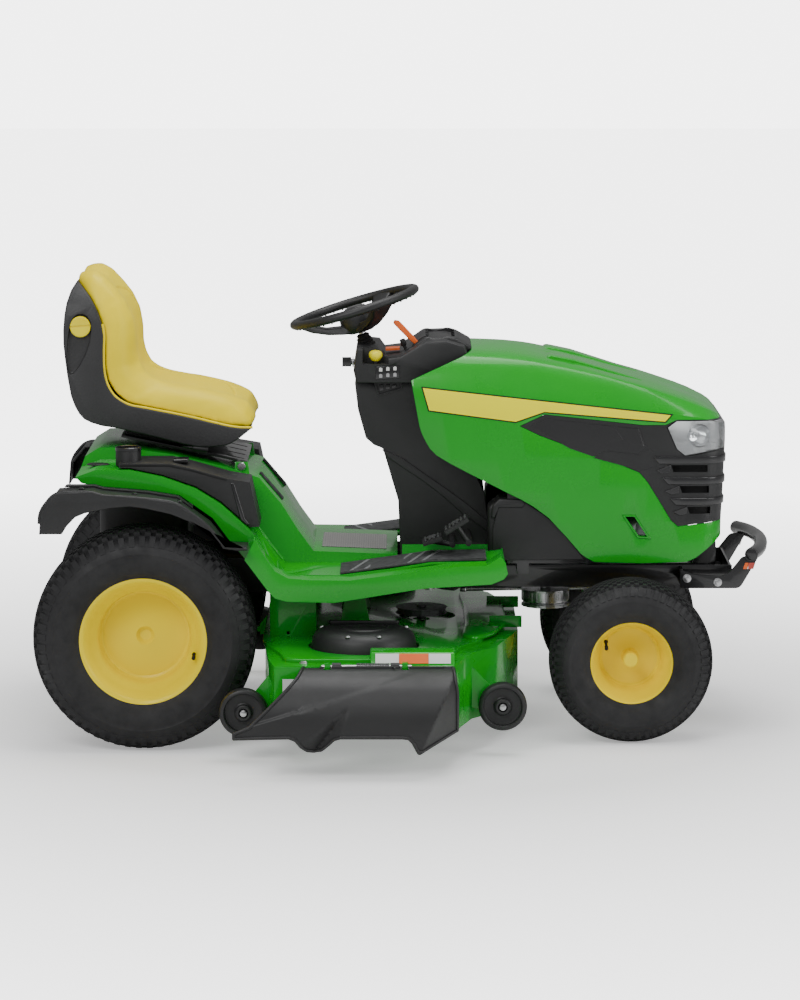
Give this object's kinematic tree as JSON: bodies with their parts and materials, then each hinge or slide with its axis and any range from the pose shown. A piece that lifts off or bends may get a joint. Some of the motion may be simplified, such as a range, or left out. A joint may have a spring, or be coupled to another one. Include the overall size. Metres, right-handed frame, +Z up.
{
  "type": "riding lawn mower",
  "caption": "Green ride-on lawn mower with yellow seat and wheels, tilting hood, black brush guard and a wide mid-mounted side-discharge mower deck on gauge wheels.",
  "frame": {"origin": "on the ground, under the middle of the whole machine's bounding box", "axes": "+X forward, +Y to the driver's left, +Z up"},
  "size_m": [1.8566, 1.524, 1.168],
  "materials": {
    "green_paint": "gloss",
    "black_paint": "satin",
    "yellow_paint": "gloss",
    "black_plastic": "textured satin",
    "seat_shell_plastic": "pebbled",
    "tyre_rubber": "matte",
    "belt_rubber": "matte",
    "mat_rubber": "ribbed matte",
    "bare_steel": "brushed",
    "cast_iron": "dull",
    "cast_aluminium": "cast",
    "seat_vinyl": "grained satin",
    "clear_lens": "clear",
    "orange_plastic": "satin",
    "yellow_plastic": "satin"
  },
  "bodies": {
    "chassis": {"main_frame": "black_paint", "front_bumper": "black_paint", "transaxle": "cast_aluminium", "drive_belt": "belt_rubber", "engine": "cast_aluminium", "engine_cover": "black_plastic", "dash_pedestal": "black_plastic", "dash_console": "black_plastic", "fender_deck": "green_paint", "wheel_flare_right": "black_plastic", "wheel_flare_left": "black_plastic", "fender_console_right": "black_plastic", "fender_console_left": "black_plastic", "foot_mat_right": "mat_rubber", "foot_mat_left": "mat_rubber", "fuel_tank": "black_plastic"},
    "hood": {"hood": "green_paint", "grille": "black_plastic", "headlight_right": "clear_lens", "headlight_left": "clear_lens"},
    "rear_wheel_right": {"rear_tyre_right": "tyre_rubber", "rear_rim_right": "yellow_paint"},
    "rear_wheel_left": {"rear_tyre_left": "tyre_rubber", "rear_rim_left": "yellow_paint"},
    "front_wheel_right": {"front_tyre_right": "tyre_rubber", "front_rim_right": "yellow_paint"},
    "front_wheel_left": {"front_tyre_left": "tyre_rubber", "front_rim_left": "yellow_paint"},
    "crank": {"engine_pulley": "bare_steel"},
    "drive_pulley": {"transaxle_pulley": "cast_iron"},
    "axle": {"front_axle": "black_paint"},
    "knuckle_right": {"knuckle_right": "cast_iron"},
    "knuckle_left": {"knuckle_left": "cast_iron"},
    "tie_rod": {"tie_rod": "bare_steel"},
    "drag_link": {"drag_link": "bare_steel"},
    "steering": {"steering_wheel": "black_plastic", "steering_shaft": "bare_steel"},
    "pinion": {"pinion_shaft": "bare_steel"},
    "sector": {"sector_gear": "cast_iron"},
    "seat_base": {"seat_bracket": "black_paint"},
    "seat": {"seat_shell": "seat_shell_plastic", "seat_cushion": "seat_vinyl"},
    "throttle": {"throttle_lever": "orange_plastic"},
    "pto": {"pto_knob": "yellow_plastic"},
    "key": {"ignition_key": "black_plastic"},
    "forward_pedal": {"forward_pedal": "black_plastic"},
    "reverse_pedal": {"reverse_pedal": "black_plastic"},
    "brake_pedal": {"brake_pedal": "black_plastic"},
    "deck": {"deck_shell": "green_paint", "belt_cover_right": "black_plastic", "belt_cover_left": "black_plastic"},
    "chute": {"discharge_chute": "black_plastic"},
    "gauge_rear_right": {"gauge_wheel_rear_right": "black_plastic"},
    "gauge_rear_left": {"gauge_wheel_rear_left": "black_plastic"},
    "gauge_front_right": {"gauge_wheel_front_right": "black_plastic"},
    "gauge_front_left": {"gauge_wheel_front_left": "black_plastic"},
    "blade_right": {"blade_spindle_right": "cast_iron"},
    "blade_middle": {"blade_spindle_middle": "cast_iron"},
    "blade_left": {"blade_spindle_left": "cast_iron"},
    "lift": {"lift_shaft": "cast_iron"}
  },
  "joints": [
    {"name": "rear_wheel_right_roll", "type": "hinge", "parent": "chassis", "child": "rear_wheel_right", "pos_m": [-0.65267, -0.318, 0.27567], "axis": [0, 1, 0], "continuous": true},
    {"name": "rear_wheel_left_roll", "type": "hinge", "parent": "chassis", "child": "rear_wheel_left", "pos_m": [-0.65267, 0.462, 0.27567], "axis": [0, 1, 0], "continuous": true},
    {"name": "axle_swing", "type": "hinge", "parent": "chassis", "child": "axle", "pos_m": [0.56033, 0.072, 0.27], "axis": [1, 0, 0], "range_deg": [-5, 5]},
    {"name": "steering_turn", "type": "hinge", "parent": "chassis", "child": "steering", "pos_m": [-0.10467, 0.072, 0.96], "axis": [-0.289, 0, 0.9573], "range_deg": [-165, 165]},
    {"name": "pinion_turn", "type": "hinge", "parent": "chassis", "child": "pinion", "pos_m": [0.05833, 0.072, 0.4], "axis": [0, 0, 1], "range_deg": [-165, 165]},
    {"name": "sector_turn", "type": "hinge", "parent": "chassis", "child": "sector", "pos_m": [0.14733, 0.108, 0.34], "axis": [0, 0, 1], "range_deg": [-33, 33]},
    {"name": "knuckle_right_turn", "type": "hinge", "parent": "axle", "child": "knuckle_right", "pos_m": [0.56033, -0.153, 0.27], "axis": [0, 0, 1], "range_deg": [-33, 33]},
    {"name": "knuckle_left_turn", "type": "hinge", "parent": "axle", "child": "knuckle_left", "pos_m": [0.56033, 0.297, 0.27], "axis": [0, 0, 1], "range_deg": [-33, 33]},
    {"name": "tie_rod_turn", "type": "hinge", "parent": "knuckle_right", "child": "tie_rod", "pos_m": [0.47033, -0.153, 0.29], "axis": [0, 0, 1], "range_deg": [-33, 33]},
    {"name": "drag_link_turn", "type": "hinge", "parent": "knuckle_left", "child": "drag_link", "pos_m": [0.56033, 0.222, 0.31], "axis": [0, 0, 1], "range_deg": [-33, 33]},
    {"name": "front_wheel_right_roll", "type": "hinge", "parent": "knuckle_right", "child": "front_wheel_right", "pos_m": [0.56033, -0.258, 0.20371], "axis": [0, 1, 0], "continuous": true},
    {"name": "front_wheel_left_roll", "type": "hinge", "parent": "knuckle_left", "child": "front_wheel_left", "pos_m": [0.56033, 0.402, 0.20371], "axis": [0, 1, 0], "continuous": true},
    {"name": "engine_spin", "type": "hinge", "parent": "chassis", "child": "crank", "pos_m": [0.35733, 0.072, 0.35], "axis": [0, 0, 1], "continuous": true},
    {"name": "drive_pulley_spin", "type": "hinge", "parent": "chassis", "child": "drive_pulley", "pos_m": [-0.62267, 0.072, 0.35], "axis": [0, 0, 1], "continuous": true},
    {"name": "hood_open", "type": "hinge", "parent": "chassis", "child": "hood", "pos_m": [0.76733, 0.072, 0.466], "axis": [0, 1, 0], "range_deg": [0, 60]},
    {"name": "seat_tilt", "type": "hinge", "parent": "chassis", "child": "seat_base", "pos_m": [-0.41867, 0.072, 0.673], "axis": [0, 1, 0], "range_deg": [0, 48]},
    {"name": "seat_slide", "type": "slide", "parent": "seat_base", "child": "seat", "axis": [0.9733, 0, -0.2297], "range_m": [-0.04, 0.05]},
    {"name": "throttle_move", "type": "hinge", "parent": "chassis", "child": "throttle", "pos_m": [0.03733, -0.028, 0.952], "axis": [0, 1, 0], "range_deg": [-18, 12]},
    {"name": "pto_pull", "type": "slide", "parent": "chassis", "child": "pto", "axis": [0, 0, 1], "range_m": [0, 0.012]},
    {"name": "key_turn", "type": "hinge", "parent": "chassis", "child": "key", "pos_m": [-0.13267, -0.038, 0.93], "axis": [-1, 0, 0], "range_deg": [0, 75]},
    {"name": "forward_pedal_press", "type": "hinge", "parent": "chassis", "child": "forward_pedal", "pos_m": [0.15333, -0.228, 0.498], "axis": [0, 1, 0], "range_deg": [0, 14], "stiffness_Nm_per_rad": 4},
    {"name": "reverse_pedal_press", "type": "hinge", "parent": "chassis", "child": "reverse_pedal", "pos_m": [0.11333, -0.178, 0.488], "axis": [0, -1, 0], "range_deg": [0, 12], "stiffness_Nm_per_rad": 4},
    {"name": "brake_pedal_press", "type": "hinge", "parent": "chassis", "child": "brake_pedal", "pos_m": [0.15333, 0.372, 0.498], "axis": [0, 1, 0], "range_deg": [0, 16], "stiffness_Nm_per_rad": 4},
    {"name": "deck_lift", "type": "slide", "parent": "chassis", "child": "deck", "axis": [0, 0, 1], "range_m": [-0.06, 0.01]},
    {"name": "lift_turn", "type": "hinge", "parent": "chassis", "child": "lift", "pos_m": [-0.24267, 0.072, 0.392], "axis": [0, 1, 0], "range_deg": [-10, 45]},
    {"name": "chute_raise", "type": "hinge", "parent": "deck", "child": "chute", "pos_m": [-0.10267, -0.626, 0.252], "axis": [-1, 0, 0], "range_deg": [0, 75], "stiffness_Nm_per_rad": 1.5},
    {"name": "gauge_rear_right_roll", "type": "hinge", "parent": "deck", "child": "gauge_rear_right", "pos_m": [-0.40067, -0.528, 0.121], "axis": [0, 1, 0], "continuous": true},
    {"name": "gauge_rear_left_roll", "type": "hinge", "parent": "deck", "child": "gauge_rear_left", "pos_m": [-0.40067, 0.672, 0.121], "axis": [0, 1, 0], "continuous": true},
    {"name": "gauge_front_right_roll", "type": "hinge", "parent": "deck", "child": "gauge_front_right", "pos_m": [0.23533, -0.448, 0.121], "axis": [0, 1, 0], "continuous": true},
    {"name": "gauge_front_left_roll", "type": "hinge", "parent": "deck", "child": "gauge_front_left", "pos_m": [0.23533, 0.592, 0.121], "axis": [0, 1, 0], "continuous": true},
    {"name": "blade_right_spin", "type": "hinge", "parent": "deck", "child": "blade_right", "pos_m": [-0.10767, -0.368, 0.12], "axis": [0, 0, 1], "continuous": true},
    {"name": "blade_middle_spin", "type": "hinge", "parent": "deck", "child": "blade_middle", "pos_m": [0.03733, 0.072, 0.12], "axis": [0, 0, 1], "continuous": true},
    {"name": "blade_left_spin", "type": "hinge", "parent": "deck", "child": "blade_left", "pos_m": [-0.10767, 0.512, 0.12], "axis": [0, 0, 1], "continuous": true}
  ],
  "couplings": [
    {"joint": "pinion_turn", "follows": "steering_turn", "ratio": 1},
    {"joint": "sector_turn", "follows": "steering_turn", "ratio": -0.2},
    {"joint": "knuckle_right_turn", "follows": "steering_turn", "ratio": 0.2},
    {"joint": "knuckle_left_turn", "follows": "steering_turn", "ratio": 0.2},
    {"joint": "tie_rod_turn", "follows": "steering_turn", "ratio": -0.2},
    {"joint": "drag_link_turn", "follows": "steering_turn", "ratio": -0.2},
    {"joint": "drive_pulley_spin", "follows": "engine_spin", "ratio": 0.6},
    {"joint": "blade_right_spin", "follows": "engine_spin", "ratio": 1},
    {"joint": "blade_middle_spin", "follows": "engine_spin", "ratio": 1},
    {"joint": "blade_left_spin", "follows": "engine_spin", "ratio": 1},
    {"joint": "lift_turn", "follows": "deck_lift", "rad_per_m": -12}
  ]
}
